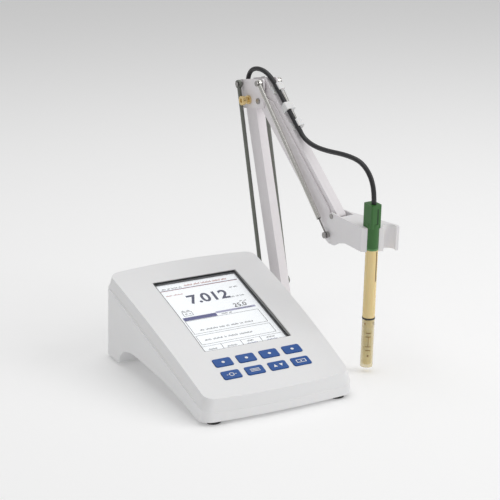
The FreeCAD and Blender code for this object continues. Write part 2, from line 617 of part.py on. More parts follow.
def springs():
    """Balance spring on each side, from the upper elbow pivot to the lower head pivot: case and rod."""
    line = L_HEAD - B_TOP
    unit = V(line).normalize()
    cases, wires = [], []
    for side in (-1, 1):
        y = side * SPRING_Y
        top, end = V(B_TOP.x, y, B_TOP.z), V(L_HEAD.x, y, L_HEAD.z)
        case_len = line.Length - 3.0 - 18.0
        case = rod(SLEEVE_R, top + unit * 3.0, unit, case_len).fuse(cross_pin(3.6, B_TOP, y - 1.4, y + 1.4))
        case = case.cut(rod(SLEEVE_BORE, top + unit * 75.0, unit, case_len))
        cases.append(case.cut(cross_pin(PIN_R + FIT, B_TOP, y - 4, y + 4)))
        wire = rod(WIRE_R, end - unit * 52.0, unit, 49.5).fuse(cross_pin(3.2, L_HEAD, y - 1.2, y + 1.2))
        wires.append(wire.cut(cross_pin(PIN_R + FIT, L_HEAD, y - 4, y + 4)))
    parts["spring_cases"] = from_arm(Part.makeCompound(cases))
    parts["spring_rods"] = from_arm(Part.makeCompound(wires))


# ---------------------------------------------------------------- holder head
HEAD_BOTTOM = -23.2


def holder_head():
    """Moulded head in its own tilted frame: two cheeks at the pivots, a row of open slots in front."""
    plan = [(-66, -PLATE_OUT), (-3.2, -PLATE_OUT), (0.4, -4.4), (10.4, 24.3), (6.2, 26.3), (-47, PLATE_OUT),
            (-66, PLATE_OUT)]
    side = prism([(-53.6, 0), (30, 0), (30, HEAD_BOTTOM), (-28, HEAD_BOTTOM), (-38, -26.0), (-46, -31.0), (-55, -31.4),
                  (-63.3, -28.0), (-63.3, -19.0)], -40, 40)
    body = slab(plan, HEAD_BOTTOM - 10, 0).common(round_along(side, V(0, 1, 0), 2.0))
    body = body.cut(box(-80, -38, -PLATE_IN, PLATE_IN, -40, 5))
    body = body.cut(slab([(-36, -PLATE_IN), (-12, -PLATE_IN), (-12, 15.7), (-36, 9.6)], HEAD_BOTTOM - 12, -1.8))
    for centre in (V(0, PROBE_Y, 0), SLOT2):
        body = body.cut(rod(SLOT_R, V(centre.x, centre.y, -40), V(0, 0, 1), 60))
    body = on_head(body)
    for at in (U_HEAD, L_HEAD):
        body = body.cut(cross_pin(PIN_R, at, -20, 20))
    parts["holder_head"] = from_arm(body)
    upper = fuse([cross_pin(PIN_R, U_HEAD, -PLATE_OUT, PLATE_OUT), cross_pin(2.4, U_HEAD, -PLATE_OUT - 0.8, -PLATE_OUT),
                  cross_pin(2.4, U_HEAD, PLATE_OUT, PLATE_OUT + 0.8)])
    lower = fuse([cross_pin(PIN_R, L_HEAD, -SPRING_Y - 1.8, SPRING_Y + 1.8),
                  cross_pin(3.0, L_HEAD, -SPRING_Y - 3.0, -SPRING_Y - 1.8),
                  cross_pin(3.0, L_HEAD, SPRING_Y + 1.8, SPRING_Y + 3.0)])
    parts["head_pins"] = from_arm(Part.makeCompound([upper, lower]))


# ---------------------------------------------------------------- probe
RING_AT = (-101.0, -106.5, -116.5, -122.0)


def probe():
    """Combination probe: moulded cap, epoxy body, seal ring and a vented sleeve round the sensing rings."""
    block = rounded_box(-8.6, 5.4, -5.6, 5.6, 0.1, CAP_TALL, 1.6)
    collar = rod(PROBE_R, V(0, 0, -COLLAR_TALL), V(0, 0, 1), COLLAR_TALL + 4)
    cap = block.fuse(collar)
    cap = cap.cut(rod(CORD_R + 0.1, V(0, 0, CAP_TALL - 6), V(0, 0, 1), 10))
    parts["probe_cap"] = on_probe(cap)
    core = rod(PROBE_R - 0.05, V(0, 0, -PROBE_LEN + SLEEVE_TALL), V(0, 0, 1), PROBE_LEN - SLEEVE_TALL - COLLAR_TALL)
    tip = rod(3.4, V(0, 0, -PROBE_LEN + 2), V(0, 0, 1), SLEEVE_TALL - 2)
    parts["probe_body"] = on_probe(core.fuse(tip))
    tube = rod(PROBE_R, V(0, 0, -PROBE_LEN), V(0, 0, 1), SLEEVE_TALL - 1.6)
    tube = tube.cut(rod(4.7, V(0, 0, -PROBE_LEN - 1), V(0, 0, 1), SLEEVE_TALL + 2))
    for turn in (0, 90):
        hole = rod(1.4, V(-10, 0, -PROBE_LEN + SLEEVE_TALL - 5.5), V(1, 0, 0), 20)
        hole.rotate(V(0, 0, 0), V(0, 0, 1), turn + 20)
        tube = tube.cut(hole)
    parts["probe_sleeve"] = on_probe(tube)
    seal = rod(PROBE_R + 0.15, V(0, 0, -PROBE_LEN + SLEEVE_TALL - 1.6), V(0, 0, 1), 1.6)
    parts["probe_seal"] = on_probe(seal.cut(rod(3.4, V(0, 0, -PROBE_LEN), V(0, 0, 1), 80)))
    rings = []
    for z in RING_AT:
        ring = rod(3.9, V(0, 0, z), V(0, 0, 1), 2.2)
        rings.append(ring.cut(rod(3.4, V(0, 0, z - 1), V(0, 0, 1), 5)))
    parts["probe_rings"] = on_probe(Part.makeCompound(rings))


# ---------------------------------------------------------------- cable
# Corners of the cable's route by hand, in the arm frame, then in the console frame from the bench on.
ROUTE_PROBE = [(162.6, 1.7, 164.4), (164.2, 1.7, 182.8), (150.0, 1.3, 200.8), (126.5, 0.8, 205.4), (79.0, 0.0, 202.9),
               (53.3, 0.0, 207.6), (41.9, 0.0, 218.1)]
ROUTE_CLIPS = [(41.9, 0.0, 218.1), (2.7, 0.0, 254.5)]
ROUTE_ELBOW = [(2.7, 0.0, 254.5), (-9.4, 0.0, 265.7), (-41.0, 0.0, 266.0), (-51.3, 0.0, 246.3), (-43.2, 0.0, 228.2)]
ROUTE_POST = [(-43.2, 0.0, 228.2), (-37.5, 0.0, 215.5), (-31.8, 0.0, 190.0), (-19.4, 0.0, 137.0), (-9.6, 0.0, 88.0)]
ROUTE_FOOT = [(-9.6, 0.0, 88.0), (-5.2, 0.0, 66.5), (-17.4, 0.0, 46.5), (-17.4, 0.0, 28.0)]
ROUTE_LEAVE = [(-17.4, 0.0, 28.0), (-18.1, 0.0, 14.5), (-29.5, 0.0, 2.8)]
ROUTE_BENCH = [(89.0, 142.0, 2.4), (64.0, 147.0, 2.4), (38.0, 146.5, 2.4), (16.0, 144.4, 2.4)]
ROUTE_PLUG = [(16.0, 199.6, 2.4), (34.0, 199.5, 2.5), (47.0, 191.0, 13.5), (49.0, 177.0, 35.0), (43.0, 158.0, 52.3),
              (42.0, 136.0, 49.2)]
COIL = V(10, 172, 0)
COIL_MID = 25.3


def tube(route):
    """A round cord along straight runs that tangent arcs join."""
    points = [V(*p) for p in route]
    edges = []
    start = points[0] + (points[1] - points[0]).normalize() * SEAM_GAP
    first = start
    for before, corner, after in zip(points, points[1:], points[2:]):
        back, on = (before - corner), (after - corner)
        run = min(back.Length, on.Length)
        half_turn = (math.pi - back.getAngle(on)) / 2
        radius = 0.45 * run / math.tan(half_turn)
        back.normalize()
        on.normalize()
        near, far = corner + back * (0.45 * run), corner + on * (0.45 * run)
        inward = (back + on).normalize()
        middle = corner + inward * (radius / math.cos(half_turn) - radius)
        edges.append(Part.makeLine(start, near))
        edges.append(Part.Arc(near, middle, far).toShape())
        start = far
        print("  bend radius %.1f mm, %.1f diameters" % (radius, radius / CORD_R / 2))
    edges.append(Part.makeLine(start, points[-1]))
    path = Part.Wire(edges)
    heading = edges[0].tangentAt(edges[0].FirstParameter)
    ring = Part.Wire(Part.makeCircle(CORD_R, first, heading))
    solid = path.makePipeShell([ring], True, False)
    print("  length %.1f, volume over section %.1f" % (path.Length, solid.Volume / (math.pi * CORD_R ** 2)))
    return solid


def cable():
    """The probe cable in stretches, one to each part of its run, with the spare length as one closed coil."""
    for name, route in (("cord_probe", ROUTE_PROBE), ("cord_clips", ROUTE_CLIPS), ("cord_elbow", ROUTE_ELBOW),
                        ("cord_post", ROUTE_POST), ("cord_foot", ROUTE_FOOT)):
        parts[name] = from_arm(tube(route))
    leave = [tuple(arm_point(V(*p))) for p in ROUTE_LEAVE]
    parts["cord_bench"] = tube(leave + ROUTE_BENCH)
    parts["cord_plug"] = tube(ROUTE_PLUG)
    wide = 2 * CORD_R
    ring = rod(COIL_MID + wide, COIL, V(0, 0, 1), 2 * wide).cut(rod(COIL_MID - wide, COIL, V(0, 0, 1), 2 * wide))
    edges = [e for e in ring.Edges if isinstance(e.Curve, Part.Circle)]
    parts["cord_coil"] = ring.makeFillet(CORD_R * 0.9, edges)


def din_plug():
    """Round plug in the probe socket: metal nose, moulded grip and boot."""
    x = DIN_AT[0]
    nose = rod(5.7, V(x, -7.0, 0), V(0, 1, 0), 11.0)
    grip = rod(7.4, V(x, 2.4, 0), V(0, 1, 0), 19.0)
    boot = Part.makeCone(4.6, 3.2, 12.0, V(x, 21.4, 0), V(0, 1, 0))
    out = fuse([nose, grip, boot])
    for i in range(10):
        a = 2 * math.pi * i / 10
        out = out.cut(rod(0.7, V(x + 7.5 * math.cos(a), 8.0, 7.5 * math.sin(a)), V(0, 1, 0), 10.0))
    parts["din_plug"] = rear_frame(out.cut(rod(CORD_R, V(x, 28.4, 0), V(0, 1, 0), 8)))


# ---------------------------------------------------------------- finish
def build():
    shells()
    feet()
    case_screws()
    display()
    keys()
    boards()
    connectors()
    peg_plate()
    arm_foot()
    lower_arm()
    elbow()
    parts["knob_left"] = from_arm(knob(-1))
    parts["knob_right"] = from_arm(knob(1))
    forearm()
    springs()
    holder_head()
    probe()
    din_plug()
    cable()


def on_cable(name):
    return name.startswith("cord_") or name == "din_plug"


build()
whole = FreeCAD.BoundBox()
for name, shape in parts.items():
    if not on_cable(name):
        whole.add(shape.optimalBoundingBox(False))
ORIGIN = V(whole.Center.x, whole.Center.y, 0)
print("origin moved by %.3f %.3f, lowest point %.3f" % (ORIGIN.x, ORIGIN.y, whole.ZMin))
os.makedirs("parts", exist_ok=True)
for name, shape in parts.items():
    shape.translate(-ORIGIN)
    if not shape.isValid():
        print("not valid:", name)
    print("%-18s solids %d volume %.0f" % (name, len(shape.Solids), shape.Volume))
    shape.exportStep("parts/%s.step" % name)
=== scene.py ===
"""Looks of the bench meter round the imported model: materials, cable, screen, key marks and probe bands."""
import json
import math
import bmesh
import bpy
from mathutils import Matrix, Vector


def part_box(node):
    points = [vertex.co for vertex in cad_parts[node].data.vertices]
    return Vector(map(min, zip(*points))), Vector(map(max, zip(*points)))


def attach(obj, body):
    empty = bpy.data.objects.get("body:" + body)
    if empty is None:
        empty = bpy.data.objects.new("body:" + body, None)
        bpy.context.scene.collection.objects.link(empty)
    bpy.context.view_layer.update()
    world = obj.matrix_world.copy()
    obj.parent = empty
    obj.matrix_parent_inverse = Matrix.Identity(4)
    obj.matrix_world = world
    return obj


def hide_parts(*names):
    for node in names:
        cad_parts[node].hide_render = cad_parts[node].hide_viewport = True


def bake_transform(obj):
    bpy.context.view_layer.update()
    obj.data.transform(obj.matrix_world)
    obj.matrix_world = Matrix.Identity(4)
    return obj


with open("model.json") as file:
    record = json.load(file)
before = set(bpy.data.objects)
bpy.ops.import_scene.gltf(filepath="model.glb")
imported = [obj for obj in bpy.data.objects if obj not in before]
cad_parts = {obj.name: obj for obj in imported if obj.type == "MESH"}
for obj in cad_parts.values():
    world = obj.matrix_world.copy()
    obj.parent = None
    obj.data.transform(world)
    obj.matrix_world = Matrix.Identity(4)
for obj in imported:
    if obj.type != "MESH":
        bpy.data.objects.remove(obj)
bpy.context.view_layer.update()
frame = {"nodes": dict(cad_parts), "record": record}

MM = 0.001
SCENE = bpy.context.scene
NODES = frame["nodes"]

# ---------------------------------------------------------------- frames
# part.py designs in a console frame and an arm frame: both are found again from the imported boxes.
# Lengths are in millimetres within those frames, and in metres outside them.
CONSOLE_REAR = 115.5
shell_low, shell_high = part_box("lower_shell")
CONSOLE = Vector(((shell_low[0] + shell_high[0]) / 2, shell_high[1] - CONSOLE_REAR * MM, 0))
peg_low, peg_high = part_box("peg")
PEG = Vector(((peg_low[0] + peg_high[0]) / 2, (peg_low[1] + peg_high[1]) / 2, 0))
ARM_TURN = math.radians(-84.25)
SLOPE = math.radians(16.47)
TOP_MID = Vector((0, -6.5, 55.4))
TOP_HALF, TOP_CROWN = 107.9, 3.5
HEAD_TILT = math.radians(5.0)
HEAD = Vector((160.8, 0, 144.0))
PROBE_Y = 1.7

console_frame = Matrix.Translation(CONSOLE) @ Matrix.Scale(MM, 4)
arm_frame = Matrix.Translation(PEG) @ Matrix.Rotation(ARM_TURN, 4, "Z") @ Matrix.Scale(MM, 4)
slope_frame = console_frame @ Matrix.Translation(TOP_MID) @ Matrix.Rotation(SLOPE, 4, "X")
head_frame = arm_frame @ Matrix.Translation(HEAD) @ Matrix.Rotation(HEAD_TILT, 4, "Y")


def crown(y):
    """Height of the crowned top face over its chord."""
    return TOP_CROWN * (1 - (y / TOP_HALF) ** 2)


# ---------------------------------------------------------------- camera and light
CAMERA_TURN, CAMERA_RISE, CAMERA_ROLL = -25.8, 16.2, -1.6
CAMERA_AIM = Vector((27.9, 0, 118.5))
CAMERA_AWAY = 1.5477
LENS, SENSOR, CAMERA_REACH = 118.97, 36.0, 20.0
LIGHTS = (
    ("key_light", (1.3, -1.1, 1.2), (0, 0, 0.1), (1.3, 1.3), 13),
    ("top_light", (0.1, 0.3, 1.8), (0, 0, 0), (1.8, 1.8), 12),
    ("fill_light", (-1.4, -0.8, 0.9), (0, 0, 0.1), (1.2, 1.0), 0.8),
)
WORLD_STRENGTH = 0.42
FLOOR_HALF = 4.0


def add_camera():
    """The camera looks at a point over the console, from in front of it and to its left."""
    turn, rise, roll = (math.radians(angle) for angle in (CAMERA_TURN, CAMERA_RISE, CAMERA_ROLL))
    target = CONSOLE + CAMERA_AIM * MM
    back = Vector((math.sin(turn) * math.cos(rise), -math.cos(turn) * math.cos(rise), math.sin(rise)))
    right = (-back).cross(Vector((0, 0, 1))).normalized()
    up = right.cross(-back)
    right, up = (math.cos(roll) * right + math.sin(roll) * up,
                 -math.sin(roll) * right + math.cos(roll) * up)
    data = bpy.data.cameras.new("camera")
    data.sensor_width = SENSOR
    data.lens = LENS
    data.clip_end = CAMERA_REACH
    camera = bpy.data.objects.new("camera", data)
    SCENE.collection.objects.link(camera)
    place = Matrix((right, up, back)).transposed().to_4x4()
    place.translation = target + back * CAMERA_AWAY
    camera.matrix_world = place
    SCENE.camera = camera


def add_light(name, location, target, size, power):
    """A soft rectangular light, in metres and watts, that faces its target."""
    data = bpy.data.lights.new(name, "AREA")
    data.shape = "RECTANGLE"
    data.size, data.size_y = size
    data.energy = power
    light = bpy.data.objects.new(name, data)
    SCENE.collection.objects.link(light)
    light.location = location
    light.rotation_euler = (Vector(target) - Vector(location)).to_track_quat("-Z", "Y").to_euler()


def add_studio():
    SCENE.view_settings.view_transform = "Standard"
    for row in LIGHTS:
        add_light(*row)
    world = bpy.data.worlds.new("studio")
    SCENE.world = world
    world.use_nodes = True
    background = world.node_tree.nodes["Background"]
    background.inputs["Color"].default_value = (1, 1, 1, 1)
    background.inputs["Strength"].default_value = WORLD_STRENGTH
    mesh = bpy.data.meshes.new("floor")
    corners = [(-FLOOR_HALF, -FLOOR_HALF, 0), (FLOOR_HALF, -FLOOR_HALF, 0),
               (FLOOR_HALF, FLOOR_HALF, 0), (-FLOOR_HALF, FLOOR_HALF, 0)]
    mesh.from_pydata(corners, [], [(0, 1, 2, 3)])
    floor = bpy.data.objects.new("floor", mesh)
    SCENE.collection.objects.link(floor)
    floor.data.materials.append(MATERIALS["floor"])


# ---------------------------------------------------------------- materials
MATERIALS = {}
COAT_ROUGH = 0.15
SCATTER = (0.002, 0.0015, 0.001)
BUMP_DEEP = 0.0002
WEAR_START, WEAR_FULL = 0.53, 0.62
WEAR_SCALE = 400
WEAR_PALER = 1.25
WINDOW_ALPHA, SLEEVE_ALPHA = 0.07, 0.5
# Painted light: the display recess's side walls get a grey, as if they caught the light, in the black
# surround.
PAINTED_LIT_WALL_HALF = 43.1
PAINTED_LIT_WALL_GREY = (0.20, 0.20, 0.20, 1)


def shade(colour, factor):
    """A colour made paler or darker, with its alpha."""
    return (*(min(1.0, c * factor) for c in colour), 1.0)


def material(name, colour, rough, metal=0.0, grain=900, grain_depth=0.12, tone=0.04, tone_scale=60,
             wear=0.0, stretch=(1, 1, 1), rough_span=0.08, coat=0.0, sheen=0.0, subsurface=0.0,
             emission=0.0):
    """Moulded, painted, drawn or rubbery finish: drifting tone and roughness, fine grain, rubbed edges."""
    made = bpy.data.materials.new(name)
    made.use_nodes = True
    tree = made.node_tree
    add, link = tree.nodes.new, tree.links.new
    shader = tree.nodes["Principled BSDF"]
    shader.inputs["Metallic"].default_value = metal
    shader.inputs["Coat Weight"].default_value = coat
    shader.inputs["Coat Roughness"].default_value = COAT_ROUGH
    shader.inputs["Sheen Weight"].default_value = sheen
    if subsurface:
        shader.inputs["Subsurface Weight"].default_value = subsurface
        shader.inputs["Subsurface Radius"].default_value = SCATTER
    if emission:
        shader.inputs["Emission Color"].default_value = (*colour, 1)
        shader.inputs["Emission Strength"].default_value = emission
    place = add("ShaderNodeTexCoord")
    squeeze = add("ShaderNodeMapping")
    squeeze.inputs["Scale"].default_value = stretch
    link(place.outputs["Object"], squeeze.inputs["Vector"])

    broad = add("ShaderNodeTexNoise")
    broad.inputs["Scale"].default_value = tone_scale
    broad.inputs["Detail"].default_value = 4
    link(squeeze.outputs["Vector"], broad.inputs["Vector"])
    tones = add("ShaderNodeMix")
    tones.data_type = "RGBA"
    tones.inputs["A"].default_value = shade(colour, 1 - tone)
    tones.inputs["B"].default_value = shade(colour, 1 + tone)
    link(broad.outputs["Fac"], tones.inputs["Factor"])
    top = tones.outputs["Result"]

    if wear:
        edge = add("ShaderNodeNewGeometry")
        ramp = add("ShaderNodeValToRGB")
        ramp.color_ramp.elements[0].position = WEAR_START
        ramp.color_ramp.elements[1].position = WEAR_FULL
        patch = add("ShaderNodeTexNoise")
        patch.inputs["Scale"].default_value = WEAR_SCALE
        link(place.outputs["Object"], patch.inputs["Vector"])
        amount = add("ShaderNodeMath")
        amount.operation = "MULTIPLY"
        scaled = add("ShaderNodeMath")
        scaled.operation = "MULTIPLY"
        scaled.inputs[1].default_value = wear
        link(edge.outputs["Pointiness"], ramp.inputs["Fac"])
        link(ramp.outputs["Color"], amount.inputs[0])
        link(patch.outputs["Fac"], amount.inputs[1])
        link(amount.outputs["Value"], scaled.inputs[0])
        rubbed = add("ShaderNodeMix")
        rubbed.data_type = "RGBA"
        rubbed.inputs["B"].default_value = shade(colour, WEAR_PALER)
        link(scaled.outputs["Value"], rubbed.inputs["Factor"])
        link(top, rubbed.inputs["A"])
        top = rubbed.outputs["Result"]
    link(top, shader.inputs["Base Color"])

    fine = add("ShaderNodeTexNoise")
    fine.inputs["Scale"].default_value = grain
    fine.inputs["Detail"].default_value = 3
    link(squeeze.outputs["Vector"], fine.inputs["Vector"])
    span = add("ShaderNodeMapRange")
    span.inputs["To Min"].default_value = max(0.02, rough - rough_span)
    span.inputs["To Max"].default_value = min(1.0, rough + rough_span)
    link(fine.outputs["Fac"], span.inputs["Value"])
    link(span.outputs["Result"], shader.inputs["Roughness"])
    bump = add("ShaderNodeBump")
    bump.inputs["Strength"].default_value = grain_depth
    bump.inputs["Distance"].default_value = BUMP_DEEP
    link(fine.outputs["Fac"], bump.inputs["Height"])
    link(bump.outputs["Normal"], shader.inputs["Normal"])
    MATERIALS[name] = made
    return made


def clear_material():
    """The hard-coated display window: nearly all of the light goes straight through."""
    made = material("window_clear", (0.95, 0.97, 1.0), 0.06, grain=300, grain_depth=0.02, tone=0.01,
                    rough_span=0.02)
    made.node_tree.nodes["Principled BSDF"].inputs["Alpha"].default_value = WINDOW_ALPHA


def bezel_painted_light_material():
    """Black surround of the display, with painted light: grey on the side walls that stand over a set
    half-width from its middle, as if they were lit.
    """
    made = material("bezel_black", (0.008, 0.008, 0.010), 0.45, grain=2400, grain_depth=0.2)
    tree = made.node_tree
    add, link = tree.nodes.new, tree.links.new
    base = tree.nodes["Principled BSDF"].inputs["Base Color"]
    dark = base.links[0].from_socket
    place, axes = add("ShaderNodeTexCoord"), add("ShaderNodeSeparateXYZ")
    across, size, beyond = add("ShaderNodeMath"), add("ShaderNodeMath"), add("ShaderNodeMath")
    across.operation, size.operation, beyond.operation = "SUBTRACT", "ABSOLUTE", "GREATER_THAN"
    across.inputs[1].default_value = CONSOLE.x
    beyond.inputs[1].default_value = PAINTED_LIT_WALL_HALF * MM
    # Painted light: grey mixed in on the side walls, as if they were lit.
    painted_lit_walls = add("ShaderNodeMix")
    painted_lit_walls.data_type = "RGBA"
    painted_lit_walls.inputs["B"].default_value = PAINTED_LIT_WALL_GREY
    link(place.outputs["Object"], axes.inputs["Vector"])
    link(axes.outputs["X"], across.inputs[0])
    link(across.outputs["Value"], size.inputs[0])
    link(size.outputs["Value"], beyond.inputs[0])
    link(beyond.outputs["Value"], painted_lit_walls.inputs["Factor"])
    link(dark, painted_lit_walls.inputs["A"])
    link(painted_lit_walls.outputs["Result"], base)


def make_materials():
    material("floor", (0.9, 0.9, 0.9), 0.9, tone=0.0, grain_depth=0.0, emission=0.15)
    material("shell_white", (0.86, 0.86, 0.865), 0.42, grain=2600, grain_depth=0.10, tone=0.012,
             tone_scale=25, wear=0.15, subsurface=0.03)
    material("rubber_black", (0.03, 0.03, 0.03), 0.85, grain=1800, grain_depth=0.3, sheen=0.1)
    material("screw_steel", (0.34, 0.33, 0.32), 0.28, metal=1.0, grain=1500, tone=0.06, wear=0.5)
    bezel_painted_light_material()
    material("lcd_frame", (0.55, 0.56, 0.58), 0.35, metal=0.8, grain=1200)
    material("mark_brown", (0.22, 0.13, 0.04), 0.5, grain=1500)
    # Painted shade: a darker copy of the cap's green, for the flat strip that stands for the cap's sunk
    # line.
    material("painted_groove_shade", (0.008, 0.05, 0.008), 0.6, grain=2000)
    # Painted highlight: a paler copy of the cap's green for the band on its lip, as if the lip caught the
    # light.
    material("cap_lip_highlight", (0.10, 0.26, 0.09), 0.3, grain=2000)
    material("silicone_grey", (0.3, 0.31, 0.33), 0.7, grain=1500)
    material("board_green", (0.02, 0.2, 0.08), 0.35, grain=800, coat=0.4)
    material("chip_black", (0.02, 0.02, 0.02), 0.5, grain=1500)
    material("panel_grey", (0.11, 0.11, 0.12), 0.5, grain=2000, grain_depth=0.2)
    material("rocker_black", (0.02, 0.02, 0.022), 0.25, grain=1200, coat=0.3)
    material("plated_steel", (0.66, 0.65, 0.62), 0.25, metal=1.0, grain=900, tone=0.05, wear=0.4)
    material("plate_steel", (0.6, 0.6, 0.6), 0.32, metal=1.0, grain=700, stretch=(1, 12, 1), tone=0.05,
             wear=0.5)
    material("nylon_white", (0.8, 0.79, 0.74), 0.45, grain=1500, subsurface=0.1)
    material("arm_grey", (0.66, 0.64, 0.65), 0.45, grain=2200, grain_depth=0.15, wear=0.2)
    material("arm_paint", (0.84, 0.80, 0.82), 0.42, grain=2600, grain_depth=0.16, tone=0.02, wear=0.25,
             coat=0.1)
    material("rod_steel", (0.20, 0.21, 0.19), 0.38, metal=1.0, grain=500, stretch=(14, 14, 1), tone=0.08,
             wear=0.3)
    material("clip_white", (0.78, 0.78, 0.78), 0.45, grain=1800, subsurface=0.05)
    material("head_white", (0.84, 0.82, 0.83), 0.4, grain=2400, grain_depth=0.12, tone=0.015, wear=0.15,
             subsurface=0.04)
    material("brass", (0.72, 0.55, 0.27), 0.25, metal=1.0, grain=900, tone=0.08, wear=0.4)
    material("cap_green", (0.028, 0.135, 0.022), 0.36, grain=2200, grain_depth=0.15, tone=0.06, wear=0.2)
    material("probe_amber", (0.84, 0.66, 0.31), 0.18, grain=500, grain_depth=0.03, tone=0.10,
             stretch=(60, 60, 1), tone_scale=20, coat=0.5, subsurface=0.35)
    sleeve = material("sleeve_amber", (0.80, 0.68, 0.36), 0.14, grain=500, grain_depth=0.03, tone=0.05,
                      coat=0.5)
    sleeve.node_tree.nodes["Principled BSDF"].inputs["Alpha"].default_value = SLEEVE_ALPHA
    material("seal_black", (0.03, 0.03, 0.03), 0.6, grain=1500)
    material("electrode_metal", (0.7, 0.7, 0.72), 0.2, metal=1.0, grain=900)
    material("plug_black", (0.025, 0.025, 0.027), 0.5, grain=2200, grain_depth=0.2)
    material("key_blue", (0.004, 0.08, 0.33), 0.35, grain=2400, grain_depth=0.1, tone=0.04, wear=0.2)
    material("cord_black", (0.018, 0.018, 0.02), 0.42, grain=1400, grain_depth=0.15, tone=0.1,
             rough_span=0.1)
    material("screen_white", (0.86, 0.88, 0.90), 0.4, grain=3000, grain_depth=0.0, tone=0.015, emission=0.35)
    material("screen_blue", (0.035, 0.04, 0.24), 0.4, grain=3000, grain_depth=0.0, tone=0.05)
    material("screen_navy", (0.010, 0.015, 0.085), 0.4, grain=3000, grain_depth=0.0, tone=0.05)
    material("screen_pale", (0.42, 0.42, 0.62), 0.4, grain=3000, grain_depth=0.0, tone=0.03)
    material("screen_red", (0.42, 0.05, 0.035), 0.4, grain=3000, grain_depth=0.0, tone=0.03)
    material("screen_grey", (0.045, 0.045, 0.055), 0.4, grain=3000, grain_depth=0.0, tone=0.03)
    material("mark_white", (0.85, 0.86, 0.88), 0.45, grain=2000, tone=0.02)
    clear_material()


# ---------------------------------------------------------------- mesh helpers
def piece(name, mesh, slot_name, body=None, place=None):
    """Links a mesh at its place, gives it a slot's material and rides it on a body if one is named."""
    if place is not None:
        mesh.transform(place)
    made = bpy.data.objects.new(name, mesh)
    SCENE.collection.objects.link(made)
    made.data.materials.append(MATERIALS[slot_name])
    if body:
        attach(made, body)
    return made


def assign_slots():
    """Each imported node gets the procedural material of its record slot; the clear sleeve has its own."""
    slots = {part["node"]: part["material_slot"] for part in frame["record"]["subparts"]}
    slots["probe_sleeve"] = "sleeve_amber"
    for name, node in NODES.items():
        node.data.materials.clear()
        node.data.materials.append(MATERIALS[slots[name]])


# ---------------------------------------------------------------- cable
# The routes are part.py's, in the arm's frame or the console's, less its two points beside the coil:
# there the ends of coil_points() stand instead.
CORD_R = 2.3
ROUTE_PROBE = [(162.6, 1.7, 164.4), (164.2, 1.7, 182.8), (150.0, 1.3, 200.8), (126.5, 0.8, 205.4),
               (79.0, 0.0, 202.9), (53.3, 0.0, 207.6), (41.9, 0.0, 218.1)]
ROUTE_CLIPS = [(41.9, 0.0, 218.1), (2.7, 0.0, 254.5)]
ROUTE_ELBOW = [(2.7, 0.0, 254.5), (-9.4, 0.0, 265.7), (-41.0, 0.0, 266.0), (-51.3, 0.0, 246.3),
               (-43.2, 0.0, 228.2)]
ROUTE_POST = [(-43.2, 0.0, 228.2), (-37.5, 0.0, 215.5), (-31.8, 0.0, 190.0), (-19.4, 0.0, 137.0),
              (-9.6, 0.0, 88.0)]
ROUTE_FOOT = [(-9.6, 0.0, 88.0), (-5.2, 0.0, 66.5), (-17.4, 0.0, 46.5), (-17.4, 0.0, 28.0)]
ROUTE_LEAVE = [(-17.4, 0.0, 28.0), (-18.1, 0.0, 14.5), (-29.5, 0.0, 2.8)]
ROUTE_BENCH = [(89.0, 142.0, 2.4), (64.0, 147.0, 2.4), (38.0, 146.5, 2.4)]
ROUTE_PLUG = [(34.0, 199.5, 2.5), (47.0, 191.0, 13.5), (49.0, 177.0, 35.0), (43.0, 158.0, 52.3),
              (42.0, 136.0, 49.2)]
COIL = Vector((10, 172, 0))
COIL_MID, TURNS, TURN_POINTS = 25.3, 2.5, 12
LYING_Z, INNER_OFF = 2.4, 0.1 - CORD_R
OVER_Z, OVER_OFF = 6.4, 0.3
PASS_START, PASS_LONG = 0.9, 0.1


def spline_path(name, points):
    """The smooth line of a route, as points close together along its NURBS spline."""
    curve = bpy.data.curves.new(name, "CURVE")
    curve.dimensions = "3D"
    spline = curve.splines.new("NURBS")
    spline.points.add(len(points) - 1)
    for control, point in zip(spline.points, points):
        control.co = (*point, 1)
    spline.order_u = 3
    spline.use_endpoint_u = True
    spline.resolution_u = 14
    holder = bpy.data.objects.new(name + "_line", curve)
    SCENE.collection.objects.link(holder)
    bpy.context.view_layer.update()
    line = bpy.data.meshes.new_from_object(holder)
    path = [v.co.copy() for v in line.vertices]
    bpy.data.objects.remove(holder)
    return path


def tube_mesh(name, path, radius, sides=20):
    """A round closed tube that follows the points of a path."""
    shape = bmesh.new()
    rings = []
    normal = None
    for i, point in enumerate(path):
        ahead = path[min(i + 1, len(path) - 1)] - path[max(i - 1, 0)]
        ahead.normalize()
        if normal is None:
            normal = ahead.orthogonal().normalized()
        normal = (normal - ahead * normal.dot(ahead)).normalized()
        side = ahead.cross(normal)
        ring = []
        for k in range(sides):
            turn = 2 * math.pi * k / sides
            ring.append(shape.verts.new(point + radius * (math.cos(turn) * normal + math.sin(turn) * side)))
        rings.append(ring)
    for first, second in zip(rings, rings[1:]):
        for k in range(sides):
            shape.faces.new((first[k], first[(k + 1) % sides], second[(k + 1) % sides], second[k]))
    shape.faces.new(list(reversed(rings[0])))
    shape.faces.new(rings[-1])
    mesh = bpy.data.meshes.new(name)
    shape.to_mesh(mesh)
    shape.free()
    for polygon in mesh.polygons:
        polygon.use_smooth = len(polygon.vertices) == 4
    return mesh


def add_cord(name, points, replaced):
    """One stretch of the cable, blended across the joint between its two bodies."""
    path = spline_path(name, points)
    cable = piece(name, tube_mesh(name, path, CORD_R * MM), "cord_black")
    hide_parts(*replaced)
    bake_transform(cable)


def in_arm(points):
    return [arm_frame @ Vector(p) for p in points]


def in_console(points):
    return [console_frame @ Vector(p) for p in points]


